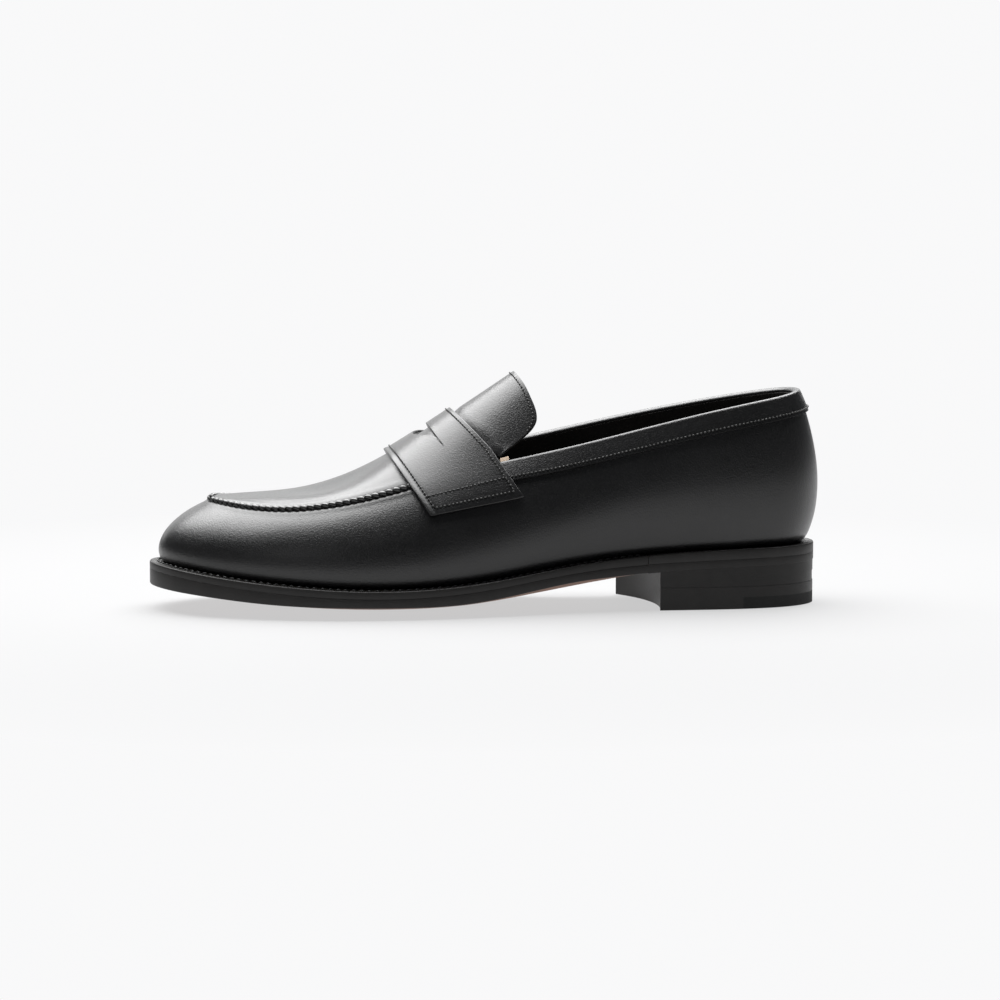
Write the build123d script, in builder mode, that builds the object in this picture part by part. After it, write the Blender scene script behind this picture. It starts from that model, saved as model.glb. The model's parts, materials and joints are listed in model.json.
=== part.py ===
from build123d import *

import math
import os

import numpy as np

# Men's penny loafer, left shoe, Goodyear welted on a leather sole with a stacked heel.
# Millimetres.  Toe towards -X, heel towards +X, outside of the foot towards -Y, +Z up.
# The origin is on the ground, at the middle of the shoe's length and width.

os.makedirs("parts", exist_ok=True)

# ---------------------------------------------------------------- driving dimensions
UPPER = 1.5              # thickness of the upper leather
LAYER_GAP = 0.3          # cement line between two plies
STIFFENER = 1.2          # toe puff, side linings and heel counter
LINING = 0.9             # lining leather
WELT_FORE = 3.2          # welt thickness at the forepart
WELT_HEEL = 4.4          # rand thickness under the heel seat
SOLE_FORE = 5.2          # outsole edge thickness at the forepart
SOLE_HEEL = 3.2          # outsole edge thickness, skived under the heel
TOP_PIECE = 5.2          # thickness of the top piece, the layer that meets the ground
LIFTS = 3                # leather lifts between the outsole and the top piece
INSOLE = 3.0
SOCK = 1.1
STRAP_LEATHER = 1.4      # saddle strap across the instep
STRAP_BACKING = 0.5
COLLAR_HEIGHT = 9.5      # height of the band sewn round the topline
COLLAR_LEATHER = 1.1
NAIL_RADIUS = 0.9
RAND_START_X = 70.0      # where the welt ends and the heel rand begins
MIDDLE = (1.25, -1.97)   # middle of the shoe's length and width, which stands over the origin

# ---------------------------------------------------------------- the last
# Eighteen stations round the feather line, from the back of the heel along the outer side
# to the toe and back along the inner side.  At each one: the feather point in plan, how far
# the sole stands out past it, then three places on the last's side above it, as distance
# outwards and height: the bulge, the shoulder and the top edge of the wall.
STATIONS = [
    # x       y      sole  bulge        shoulder      top edge
    (145.0,   0.0,   3.8,  5.8, 22.5,   3.6, 46.0,   -3.2, 68.2),
    (134.0, -19.5,   3.5,  6.0, 21.8,   4.2, 44.6,   -1.9, 66.6),
    (104.0, -28.0,   3.1,  5.5, 19.5,   4.3, 40.2,   -1.1, 62.0),
    (68.0,  -29.2,   3.3,  6.3, 17.0,   5.3, 35.8,   -0.7, 55.8),
    (30.0,  -34.5,   4.4,  5.6, 14.5,   3.8, 32.0,   -4.2, 51.4),
    (-8.0,  -43.0,   5.3,  4.0, 12.2,   0.8, 30.0,  -10.6, 49.0),
    (-48.0, -47.4,   5.6,  3.2, 10.2,  -0.9, 25.4,  -13.4, 40.8),
    (-92.0, -41.5,   5.4,  2.6,  9.0,  -1.6, 21.2,  -13.0, 32.0),
    (-128.0, -23.5,  5.4,  2.0,  7.9,  -3.4, 18.8,  -17.5, 29.4),
    (-143.0,  3.0,   5.4,  1.6,  7.4,  -4.8, 17.4,  -22.6, 27.6),
    (-128.0, 29.0,   5.4,  2.0,  7.9,  -3.4, 18.8,  -17.5, 29.4),
    (-92.0,  42.0,   5.4,  2.6,  9.0,  -1.6, 21.2,  -13.0, 32.0),
    (-48.0,  42.0,   5.3,  3.4,  9.9,  -0.4, 26.0,  -12.2, 43.0),
    (-8.0,   31.5,   4.2,  5.6, 12.4,   4.0, 30.6,   -5.0, 52.0),
    (30.0,   25.0,   3.0,  9.0, 15.5,   9.0, 34.0,    2.6, 54.6),
    (68.0,   26.5,   3.0,  7.4, 17.8,   6.6, 37.6,    1.3, 58.0),
    (104.0,  28.0,   3.1,  5.6, 20.2,   4.5, 41.4,   -0.7, 62.6),
    (134.0,  19.5,   3.5,  6.0, 21.8,   4.2, 45.0,   -1.9, 67.0),
]
# Height of the feather line along the shoe: toe spring, ball, waist, heel seat.
FEATHER_HEIGHT = [(-160, 23.0), (-143, 20.8), (-118, 17.4), (-90, 14.4), (-60, 12.6), (-30, 12.8),
                  (0, 15.4), (30, 20.0), (60, 23.8), (90, 26.0), (119, 26.9), (160, 27.3)]
# Top line of the apron and tongue, seen from the side.
RIDGE = [(-132, 46.4), (-121, 48.6), (-108, 50.0), (-90, 50.6), (-76, 51.3), (-64, 54.6), (-46, 64.9),
         (-28, 76.8), (-14, 86.1), (0, 95.4), (14, 104.7), (30, 115.3)]
# Depth of the sole's crown, that is how far its middle hangs below its edges.
CROWN = [(-160, 1.5), (-120, 2.4), (-70, 3.7), (-30, 3.9), (10, 4.6), (50, 4.4), (75, 2.0), (90, 0.0)]


def natural_spline(points):
    """A smooth function through (x, value) pairs, free at both ends."""
    x, y = np.array(points, float).T
    gap = np.diff(x)
    matrix = np.eye(len(x))
    right = np.zeros(len(x))
    for i in range(1, len(x) - 1):
        matrix[i, i - 1:i + 2] = gap[i - 1], 2 * (gap[i - 1] + gap[i]), gap[i]
        right[i] = 6 * ((y[i + 1] - y[i]) / gap[i] - (y[i] - y[i - 1]) / gap[i - 1])
    bend = np.linalg.solve(matrix, right)

    def value(at):
        i = int(np.clip(np.searchsorted(x, at) - 1, 0, len(gap) - 1))
        a = (x[i + 1] - at) / gap[i]
        b = 1 - a
        sag = ((a**3 - a) * bend[i] + (b**3 - b) * bend[i + 1]) * gap[i] ** 2 / 6
        return float(a * y[i] + b * y[i + 1] + sag)

    return value


def closed_spline(rows):
    """A smooth closed function through evenly spaced rows; its argument runs from 0 to 1."""
    table = np.array(rows, float)
    count = len(table)
    matrix = 4 * np.eye(count)
    for i in range(count):
        matrix[i, i - 1] = matrix[i, (i + 1) % count] = 1
    bend = np.linalg.solve(matrix, 6 * (np.roll(table, -1, 0) - 2 * table + np.roll(table, 1, 0)))

    def value(at):
        place = at % 1.0 * count
        i = int(place) % count
        j = (i + 1) % count
        b = place - int(place)
        a = 1 - b
        return a * table[i] + b * table[j] + ((a**3 - a) * bend[i] + (b**3 - b) * bend[j]) / 6

    return value


last = closed_spline(STATIONS)
feather_height = natural_spline(FEATHER_HEIGHT)
ridge_height = natural_spline(RIDGE)
crown_depth = natural_spline(CROWN)


def ramp(x, low, high, start, end):
    """Goes smoothly from low to high while x goes from start to end."""
    t = min(max((x - start) / (end - start), 0.0), 1.0)
    return low + (high - low) * t * t * (3 - 2 * t)


def welt_thickness(x):
    return ramp(x, WELT_FORE, WELT_HEEL, 20, 100)


def sole_top(x):
    return feather_height(x) - welt_thickness(x)


def sole_bottom(x):
    return sole_top(x) - ramp(x, SOLE_FORE, SOLE_HEEL, 0, 90)


def outward(at):
    """Unit vector, level and square to the feather line, pointing out of the shoe."""
    step = 1e-4
    dx, dy = (last(at + step) - last(at - step))[:2]
    length = math.hypot(dx, dy)
    return -dy / length, dx / length


def plan_point(at, out):
    """A point in plan, a distance outside the feather line."""
    row = last(at)
    nx, ny = outward(at)
    return row[0] + nx * out, row[1] + ny * out


def side_profile(at, level):
    """Distance outwards and height of the last's side; level is 0 at the feather, 1 at the top."""
    row = last(at)
    v = level
    weights = (9 * v * (2 - 3 * v) * (1 - v) / 2, -9 * v * (1 - 3 * v) * (1 - v) / 2,
               v * (1 - 3 * v) * (2 - 3 * v) / 2)
    out = sum(w * d for w, d in zip(weights, row[3:9:2]))
    up = sum(w * h for w, h in zip(weights, row[4:9:2]))
    return out, feather_height(row[0]) + up


def layer_point(at, level, depth):
    """Distance outwards and height of a point at a depth under the last's outside."""
    step = 1e-3
    out, up = side_profile(at, level)
    out_a, up_a = side_profile(at, level - step)
    out_b, up_b = side_profile(at, level + step)
    length = math.hypot(out_b - out_a, up_b - up_a)
    return (out - depth * (up_b - up_a) / length, up + depth * (out_b - out_a) / length)


def wall_point(at, level, depth=0.0):
    """The same point in the shoe's own frame."""
    out, up = layer_point(at, level, depth)
    x, y = plan_point(at, out)
    return Vector(x, y, up)


def station_plane(at):
    """Upright plane square to the feather line: its x is outwards and its y is the height."""
    nx, ny = outward(at)
    x, y = plan_point(at, 0)
    return Plane(origin=(x, y, 0), x_dir=(nx, ny, 0), z_dir=(ny, -nx, 0))


SKIRT = 0.3              # how far the layers draw in below the feather line
SIDE_LEVELS = [0.0, 0.05, 0.11, 0.2, 0.3, 0.42, 0.54, 0.68, 0.82, 0.92]


def layer_side(at, depth, low, high, foot, count=7):
    """Points up one face of a layer; a layer with a foot goes down to the sole inside the welt."""
    levels = [low + (high - low) * i / (count - 1) for i in range(count)]
    if foot:
        levels = [level for level in SIDE_LEVELS if level < high - 0.04] + [high]
    points = [layer_point(at, level, depth) for level in levels]
    if foot:
        x = last(at)[0]
        points[0] = (-depth - 0.05, feather_height(x) + 0.1)
        points.insert(0, (-depth - SKIRT, sole_top(x) + 0.1))
    return points


def loft_layer(stations, outer, inner, low, high, foot=False):
    """Lofts a curved sheet round the last, inside an open BuildPart."""
    sections = []
    for at in stations:
        lo = low(at) if callable(low) else low
        hi = high(at) if callable(high) else high
        with BuildSketch(station_plane(at)) as section:
            with BuildLine():
                outside = Spline(*layer_side(at, outer, lo, hi, foot))
                inside = Spline(*layer_side(at, inner, lo, hi, foot))
                Line(outside @ 0, inside @ 0)
                Line(outside @ 1, inside @ 1)
            make_face()
        sections.append(section.sketch)
    loft(sections)


def spread(start, end, count):
    return [start + (end - start) * i / (count - 1) for i in range(count)]


def solve(function, low, high):
    """The argument where a function crosses zero."""
    sign = function(low) > 0
    for _ in range(50):
        middle = (low + high) / 2
        if (function(middle) > 0) == sign:
            low = middle
        else:
            high = middle
    return (low + high) / 2


# ---------------------------------------------------------------- sections across the instep
def ridge_plane(x):
    """Plane square to the ridge: its x runs across the shoe and its y runs up out of it."""
    step = 0.05
    slope = (ridge_height(x + step) - ridge_height(x - step)) / (2 * step)
    length = math.hypot(1, slope)
    return Plane(origin=(x, 0, ridge_height(x)), x_dir=(0, 1, 0),
                 z_dir=(1 / length, 0, slope / length))


def wall_in_plane(plane, level, side):
    """Where one level of the wall crosses a section plane, in the plane's own x and y."""
    limits = (0.03, 0.499) if side < 0 else (0.97, 0.501)

    def distance(at):
        return (wall_point(at, level) - plane.origin).dot(plane.z_dir)

    at = solve(distance, *limits)
    local = plane.to_local_coords(wall_point(at, level))
    return local.X, local.Y


def arch(x, depth, reach=1.0, inset=0.0):
    """Points over the instep in the ridge plane at x, from one side to the other.

    depth is the distance under the apron's outside (negative is above it).  reach is the
    lowest level of the wall that the arch takes in, or 1 for the apron alone, which then
    stops a small inset short of the seam.
    """
    plane = ridge_plane(x)
    sides = []
    for side in (-1, 1):
        levels = [reach + (1 - reach) * i / 3 for i in range(3)] if reach < 1 else []
        run = [wall_in_plane(plane, level, side) for level in levels]
        edge = wall_in_plane(plane, 1.0, side)
        below = wall_in_plane(plane, 0.95, side)
        lean = math.hypot(edge[0] - below[0], edge[1] - below[1])
        hold = 0.36 * math.hypot(edge[0], edge[1])
        first = (edge[0] + (edge[0] - below[0]) / lean * hold, edge[1] + (edge[1] - below[1]) / lean * hold)
        second = (edge[0] * 0.5, 0.0)
        start = inset / (3 * hold)
        for t in (start, 0.25 + 0.75 * start, 0.5 + 0.5 * start, 0.75 + 0.25 * start):
            a = 1 - t
            run.append(tuple(a**3 * edge[i] + 3 * a * a * t * first[i] + 3 * a * t * t * second[i]
                             for i in range(2)))
        sides.append(run)
    points = sides[0] + [(0.0, 0.0)] + sides[1][::-1]
    return shift_line(points, depth)


def shift_line(points, depth):
    """Moves a line of points sideways, towards its right hand for a positive depth."""
    moved = []
    for i, (x, y) in enumerate(points):
        ahead = points[min(i + 1, len(points) - 1)]
        behind = points[max(i - 1, 0)]
        dx, dy = ahead[0] - behind[0], ahead[1] - behind[1]
        length = math.hypot(dx, dy)
        moved.append((x + dy / length * depth, y - dx / length * depth))
    return moved


def loft_arch(places, outer, inner, reach=1.0, inset=0.0):
    """Lofts a sheet over the instep, inside an open BuildPart."""
    sections = []
    for x in places:
        with BuildSketch(ridge_plane(x)) as section:
            with BuildLine():
                outside = Spline(*arch(x, outer, reach, inset))
                inside = Spline(*arch(x, inner, reach, inset))
                Line(outside @ 0, inside @ 0)
                Line(outside @ 1, inside @ 1)
            make_face()
        sections.append(section.sketch)
    loft(sections)


def save(part, name):
    """Names a finished piece, centres the shoe over the origin and writes it."""
    placed = part.moved(Location((-MIDDLE[0], -MIDDLE[1], 0)))
    placed.label = name
    export_step(placed, f"parts/{name}.step")


# ---------------------------------------------------------------- bottom: outlines in plan
OUTLINE_POINTS = 36


def outline(offset_from_edge=None, offset_from_feather=0.0):
    """Points of a closed outline, outside the feather line or inside the sole's edge."""
    points = []
    for i in range(OUTLINE_POINTS):
        at = i / OUTLINE_POINTS
        out = offset_from_feather
        if offset_from_edge is not None:
            out = last(at)[2] - offset_from_edge
        points.append(plan_point(at, out))
    return points


def outline_face(points, height=0.0):
    """A filled outline, level, at a height."""
    with BuildSketch(Plane.XY.offset(height)) as filled:
        with BuildLine():
            Spline(*points, periodic=True)
        make_face()
    return filled.sketch


REACH_X = 156.0
BAND_POINTS = [-REACH_X, -140, -118, -90, -60, -30, 0, 30, 60, 90, 119, REACH_X]


def keep_band(top, bottom):
    """Cuts the open BuildPart down to the space between two side profiles."""
    upper = [(x, top(x)) for x in BAND_POINTS]
    lower = [(x, bottom(x)) for x in BAND_POINTS]
    with BuildSketch(Plane.XZ) as band:
        with BuildLine():
            roof = Spline(*upper)
            floor = Spline(*lower)
            Line(roof @ 0, floor @ 0)
            Line(roof @ 1, floor @ 1)
        make_face()
    extrude(band.sketch, amount=80, both=True, mode=Mode.INTERSECT)


HEIGHT = 60.0
BREAST = [(75.5, -31.5), (62.6, 30.7)]   # ends of the heel's front face, in plan
BREAST_DEPTH = 6.5


def heel_region():
    """Plan of everything behind the heel's front face."""
    (xa, ya), (xb, yb) = BREAST
    slope = (xb - xa) / (yb - ya)
    far = 60.0
    start = (xa + (-far - ya) * slope, -far)
    end = (xb + (far - yb) * slope, far)
    middle = ((xa + xb) / 2 + BREAST_DEPTH, (ya + yb) / 2)
    with BuildSketch(Plane.XY) as region:
        with BuildLine():
            ThreePointArc((xa, ya), middle, (xb, yb))
            Polyline((xb, yb), end, (REACH_X, far), (REACH_X, -far), start, (xa, ya))
        make_face()
    return region.sketch


# nails from the seat down into the heel, and pins up through the top piece
SEAT_NAILS = [(92, -14), (92, 14), (112, -15), (112, 15), (130, 0)]
HEEL_PINS = [(plan_point(at, -3.5)) for at in spread(-0.11, 0.11, 9)]


def nail_holes(places):
    """Holes for nails right through the open BuildPart."""
    with BuildSketch(Plane.XY) as holes:
        with Locations(*places):
            Circle(NAIL_RADIUS)
    extrude(holes.sketch, amount=HEIGHT, mode=Mode.SUBTRACT)


# ---------------------------------------------------------------- outsole
SEAT_FRONT_X = 86.0      # from here back the outsole's underside is flat across, to seat the heel
with BuildPart() as outsole:
    for x in [-REACH_X, -130, -100, -70, -40, -10, 20, 45, 60, 72, 84, 96]:
        edge_y = ramp(x, 46.0, 34.0, -10, 40)
        half = edge_y + 10
        on_heel = x > SEAT_FRONT_X - 5
        middle = sole_bottom(x) - (0.3 if on_heel else crown_depth(x))
        rise = 0.0 if on_heel else (sole_bottom(x) - middle) / edge_y**2
        with BuildSketch(Plane.YZ.offset(x)):
            with BuildLine():
                floor = Spline(*[(y, middle + rise * y * y) for y in (-half, -half / 2, 0, half / 2, half)])
                Polyline(floor @ 0, (-half, HEIGHT), (half, HEIGHT), floor @ 1)
            make_face()
    loft()
    with BuildSketch(Plane.XY.offset(-10)):
        with Locations((125, 0)):
            Rectangle(70, 120)
    extrude(amount=HEIGHT)
    extrude(outline_face(outline(offset_from_edge=0.0), -10), amount=HEIGHT, mode=Mode.INTERSECT)
    keep_band(sole_top, lambda x: -8.0)
    with BuildSketch(Plane.XZ) as under_seat:
        with BuildLine():
            seat = Spline(*[(x, sole_bottom(x)) for x in (SEAT_FRONT_X, 100, 119, 138, REACH_X + 4)])
            Polyline(seat @ 1, (REACH_X + 4, -12), (SEAT_FRONT_X, -12), seat @ 0)
        make_face()
    extrude(under_seat.sketch, amount=80, both=True, mode=Mode.SUBTRACT)
    nail_holes(SEAT_NAILS)
save(outsole.part, "outsole")


# ---------------------------------------------------------------- welt and heel rand
def half_plane(low_x, high_x):
    """Keeps only the part of the open BuildPart between two cross planes."""
    with BuildSketch(Plane.XY.offset(-20)) as span:
        with Locations(((low_x + high_x) / 2, 0)):
            Rectangle(high_x - low_x, 160)
    extrude(span.sketch, amount=120, mode=Mode.INTERSECT)


for name, low_x, high_x in (("welt", -REACH_X, RAND_START_X), ("heel_rand", RAND_START_X + 0.1, REACH_X)):
    with BuildPart() as ring:
        extrude(outline_face(outline(offset_from_edge=0.3 if name == "welt" else 0.0)), amount=HEIGHT)
        extrude(outline_face(outline(offset_from_feather=0.12)), amount=HEIGHT, mode=Mode.SUBTRACT)
        keep_band(feather_height, sole_top)
        half_plane(low_x, high_x)
    save(ring.part, name)


# ---------------------------------------------------------------- inside of the bottom
BOARD_TOP = INSOLE - 2.3      # the insole's underside, below the feather line


def under_insole(x):
    return feather_height(x) - BOARD_TOP


def cork_space(inset):
    """A filler shape between outsole and insole, inside an open BuildPart."""
    extrude(outline_face(outline(offset_from_feather=-inset)), amount=HEIGHT)
    keep_band(lambda x: under_insole(x) - 0.05, lambda x: sole_top(x) + 0.05)


with BuildPart() as insole_rib:
    extrude(outline_face(outline(offset_from_feather=-6.0)), amount=HEIGHT)
    extrude(outline_face(outline(offset_from_feather=-8.0)), amount=HEIGHT, mode=Mode.SUBTRACT)
    keep_band(lambda x: under_insole(x) - 0.05, lambda x: sole_top(x) + 0.05)
    half_plane(-REACH_X, RAND_START_X)
save(insole_rib.part, "insole_rib")

CORK_END_X = 12.0
with BuildPart() as cork_filler:
    cork_space(8.3)
    half_plane(-REACH_X, CORK_END_X)
save(cork_filler.part, "cork_filler")

SHANK_START_X = 20.0
SHANK_END_X = 108.0
SHANK_WIDTH = 13.0
SHANK_THICK = 1.4
with BuildPart() as shank_board:
    cork_space(8.3)
    half_plane(CORK_END_X + 0.3, REACH_X)
    with BuildSketch(Plane.XY):
        with Locations(((SHANK_START_X + SHANK_END_X) / 2, 0)):
            Rectangle(SHANK_END_X - SHANK_START_X + 0.6, SHANK_WIDTH + 0.6)
    extrude(amount=HEIGHT, mode=Mode.SUBTRACT)
    nail_holes(SEAT_NAILS)
save(shank_board.part, "shank_board")

with BuildPart() as shank:
    with BuildSketch(Plane.XY):
        with Locations(((SHANK_START_X + SHANK_END_X) / 2, 0)):
            RectangleRounded(SHANK_END_X - SHANK_START_X, SHANK_WIDTH, 5)
    extrude(amount=HEIGHT)
    keep_band(lambda x: sole_top(x) + 0.15 + SHANK_THICK, lambda x: sole_top(x) + 0.15)
save(shank.part, "shank")

INNER_EDGE = UPPER + STIFFENER + LINING + 2 * LAYER_GAP
with BuildPart() as insole:
    extrude(outline_face(outline(offset_from_feather=-(INNER_EDGE + SKIRT + 0.3))), amount=HEIGHT)
    keep_band(lambda x: under_insole(x) + INSOLE, under_insole)
    nail_holes(SEAT_NAILS)
save(insole.part, "insole")

with BuildPart() as sock_lining:
    extrude(outline_face(outline(offset_from_feather=-(INNER_EDGE + SKIRT + 0.5))), amount=HEIGHT)
    keep_band(lambda x: under_insole(x) + INSOLE + 0.05 + SOCK, lambda x: under_insole(x) + INSOLE + 0.05)
save(sock_lining.part, "sock_lining")

# ---------------------------------------------------------------- heel
lift_step = (sole_bottom(110) - TOP_PIECE) / LIFTS
for i in range(LIFTS):
    low = TOP_PIECE + i * lift_step
    high = TOP_PIECE + (i + 1) * lift_step
    with BuildPart() as heel_lift:
        extrude(outline_face(outline(offset_from_edge=0.25 * (i % 2)), low),
                amount=high - low if i < LIFTS - 1 else 15)
        extrude(heel_region(), amount=HEIGHT, mode=Mode.INTERSECT)
        if i == LIFTS - 1:
            keep_band(sole_top, lambda x: -8.0)
        add(outsole.part, mode=Mode.SUBTRACT)
        nail_holes(SEAT_NAILS)
        if i == 0:
            with BuildSketch(Plane.XY.offset(low)):
                with Locations(*HEEL_PINS):
                    Circle(NAIL_RADIUS)
            extrude(amount=3.0, mode=Mode.SUBTRACT)
    save(heel_lift.part, f"heel_lift_{LIFTS - i}")

RUBBER_FRONT_X = 110.5
for name in ("top_piece_leather", "top_piece_rubber"):
    with BuildPart() as top_piece:
        extrude(outline_face(outline(offset_from_edge=0.0)), amount=TOP_PIECE)
        extrude(heel_region(), amount=TOP_PIECE, mode=Mode.INTERSECT)
        with BuildSketch(Plane.XY):
            with BuildLine():
                ThreePointArc((RUBBER_FRONT_X, -36), (RUBBER_FRONT_X + 8, 0), (RUBBER_FRONT_X, 36))
                Polyline((RUBBER_FRONT_X, 36), (REACH_X, 36), (REACH_X, -36), (RUBBER_FRONT_X, -36))
            make_face()
        extrude(amount=TOP_PIECE, mode=Mode.SUBTRACT if name == "top_piece_leather" else Mode.INTERSECT)
        with BuildSketch(Plane.XY):
            with Locations(*HEEL_PINS):
                Circle(NAIL_RADIUS)
        extrude(amount=TOP_PIECE, mode=Mode.SUBTRACT)
    save(top_piece.part, name)

with BuildPart() as heel_pins:
    with BuildSketch(Plane.XY.offset(0.1)):
        with Locations(*HEEL_PINS):
            Circle(NAIL_RADIUS)
    extrude(amount=TOP_PIECE + 2.5)
save(heel_pins.part, "heel_pins")

with BuildPart() as seat_nails:
    with BuildSketch(Plane.XY.offset(TOP_PIECE + 0.1)):
        with Locations(*SEAT_NAILS):
            Circle(NAIL_RADIUS)
    extrude(amount=under_insole(110) + INSOLE - TOP_PIECE - 1.0)
save(seat_nails.part, "seat_nails")

# ---------------------------------------------------------------- upper
LATERAL_THROAT = solve(lambda at: wall_point(at, 1.0).X - 3.0, 0.1, 0.45)
MEDIAL_THROAT = solve(lambda at: wall_point(at, 1.0).X - 3.0, 0.9, 0.55)

with BuildPart() as vamp_wall:
    loft_layer(spread(0.0006, 0.9994, 46), 0.0, UPPER, 0.0, 0.992, foot=True)
save(vamp_wall.part, "vamp_wall")

stiffener_out = UPPER + LAYER_GAP
stiffener_in = stiffener_out + STIFFENER
lining_out = stiffener_in + LAYER_GAP
lining_in = lining_out + LINING

COUNTER_END = 0.155
with BuildPart() as heel_counter:
    loft_layer(spread(-COUNTER_END, COUNTER_END, 17), stiffener_out, stiffener_in, 0.0, 0.68, foot=True)
save(heel_counter.part, "heel_counter")

PUFF_START = 0.405
with BuildPart() as toe_puff:
    loft_layer(spread(PUFF_START, 1 - PUFF_START, 18), stiffener_out, stiffener_in, 0.0, 0.97, foot=True)
save(toe_puff.part, "toe_puff")

for name, start, end in (("side_lining_outer", COUNTER_END + 0.003, PUFF_START - 0.003),
                         ("side_lining_inner", 1 - PUFF_START + 0.003, 1 - COUNTER_END - 0.003)):
    with BuildPart() as side_lining:
        loft_layer(spread(start, end, 13), stiffener_out, stiffener_in, 0.0, 0.84, foot=True)
    save(side_lining.part, name)

LINING_JOIN = 0.262
with BuildPart() as quarter_lining:
    loft_layer(spread(-LINING_JOIN, LINING_JOIN, 25), lining_out, lining_in, 0.0, 0.985, foot=True)
save(quarter_lining.part, "quarter_lining")

with BuildPart() as vamp_lining:
    loft_layer(spread(LINING_JOIN + 0.002, 1 - LINING_JOIN - 0.002, 34), lining_out, lining_in, 0.0, 0.97,
               foot=True)
save(vamp_lining.part, "vamp_lining")

grip_out = lining_in + LAYER_GAP
with BuildPart() as heel_grip:
    loft_layer(spread(-0.075, 0.075, 11), grip_out, grip_out + 0.9, 0.12, 0.9)
save(heel_grip.part, "heel_grip")


def collar_foot(at):
    """Level of the collar band's lower edge: the same height below the topline all round."""
    row = last(at)
    length = math.hypot(row[7] - row[5], row[8] - row[6])
    return 1 - COLLAR_HEIGHT / length / 3


# natural leather stays that reinforce the topline where it meets the strap
STAY_HALF = 0.0022
for name, throat in (("throat_stay_outer", LATERAL_THROAT - 0.012), ("throat_stay_inner", MEDIAL_THROAT + 0.012)):
    with BuildPart() as throat_stay:
        loft_layer(spread(throat - STAY_HALF, throat + STAY_HALF, 4), stiffener_out + 0.05, stiffener_in, 0.87, 1.02)
    save(throat_stay.part, name)

# ---------------------------------------------------------------- apron
FOLD_X = -16.5           # where the apron ends under the strap, on the ridge


APRON_PLACES = [-119.9, -118.6, -116, -112, -106, -98, -88, -78, -68, -58, -48, -38, -28, FOLD_X]
for name, outer, inner, inset, places in (("apron", 0.0, UPPER, 0.15, APRON_PLACES),
                                          ("apron_lining", stiffener_out, stiffener_out + LINING, 5.0,
                                           APRON_PLACES[4:])):
    with BuildPart() as plug:
        loft_arch(places, outer, inner, inset=inset)
    save(plug.part, name)

# ---------------------------------------------------------------- strap across the instep
# The strap and the tongue are cut square to the ridge, which is straight over the instep.
instep = ridge_plane(-28.0)
INSTEP = Plane(origin=instep.origin, x_dir=instep.z_dir, z_dir=instep.y_dir)
STRAP_FRONT = -17.4      # along the ridge from the middle of the strap
STRAP_REAR = 17.4
STRAP_FLARE = 4.0        # how much further back its rear edge lies at the sides
STRAP_FOOT = [(-45.0, 41.9), (35.0, 55.8)]   # its lower edge, seen from the side
SLOT_REAR = 4.6
SLOT_DEEP = 7.6
SLOT_HALF = 19.0
STRAP_GAP = 0.35         # how far its backing stands off the vamp


def strap_outline(grow):
    """Front and rear edges of the strap in the instep plane, moved outwards by a distance."""
    with BuildSketch(INSTEP) as flat:
        with BuildLine():
            front = Line((STRAP_FRONT - grow, -60), (STRAP_FRONT - grow, 60))
            rear = Spline((STRAP_REAR + STRAP_FLARE + grow, 60), (STRAP_REAR + STRAP_FLARE + grow, 30),
                          (STRAP_REAR + grow, 0), (STRAP_REAR + STRAP_FLARE + grow, -30),
                          (STRAP_REAR + STRAP_FLARE + grow, -60))
            Line(front @ 1, rear @ 0)
            Line(rear @ 1, front @ 0)
        make_face()
    return flat.sketch


def above_strap_foot(drop):
    """Side view of everything above the strap's lower edge."""
    (xa, za), (xb, zb) = STRAP_FOOT
    with BuildSketch(Plane.XZ) as above:
        with BuildLine():
            Polyline((xa, za + drop), (xb, zb + drop), (xb, 140), (xa - 30, 140), (xa - 30, za + drop - 5), close=True)
        make_face()
    return above.sketch


def slot_shape(grow):
    """The half-moon slot: a straight rear edge and a curved front edge."""
    with BuildSketch(INSTEP) as moon:
        with BuildLine():
            Line((SLOT_REAR + grow, -SLOT_HALF - grow), (SLOT_REAR + grow, SLOT_HALF + grow))
            ThreePointArc((SLOT_REAR + grow, SLOT_HALF + grow), (SLOT_REAR - SLOT_DEEP - grow, 0),
                          (SLOT_REAR + grow, -SLOT_HALF - grow))
        make_face()
    return moon.sketch


STRAP_PLACES = [-50, -44, -38, -32, -26, -20, -14, -8, -2]
strap_under = -STRAP_GAP - STRAP_BACKING
strap_top = strap_under - 0.1 - STRAP_LEATHER
for name, outer, inner, grow in (("saddle_strap", strap_top, strap_under - 0.1, 0.0),
                                 ("strap_backing", strap_under, -STRAP_GAP, -1.6)):
    with BuildPart() as strap:
        loft_arch(STRAP_PLACES, outer, inner, reach=0.5)
        extrude(strap_outline(grow), amount=90, both=True, mode=Mode.INTERSECT)
        extrude(above_strap_foot(-grow), amount=80, both=True, mode=Mode.INTERSECT)
        extrude(slot_shape(-grow), amount=60, both=True, mode=Mode.SUBTRACT)
    save(strap.part, name)

with BuildPart() as collar_band:
    loft_layer(spread(MEDIAL_THROAT - 1 - 0.012, LATERAL_THROAT + 0.012, 27), -LAYER_GAP - COLLAR_LEATHER,
               -LAYER_GAP, collar_foot, 1.0)
    extrude(strap_outline(0.5), amount=90, both=True, mode=Mode.SUBTRACT)
save(collar_band.part, "collar_band")

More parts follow.
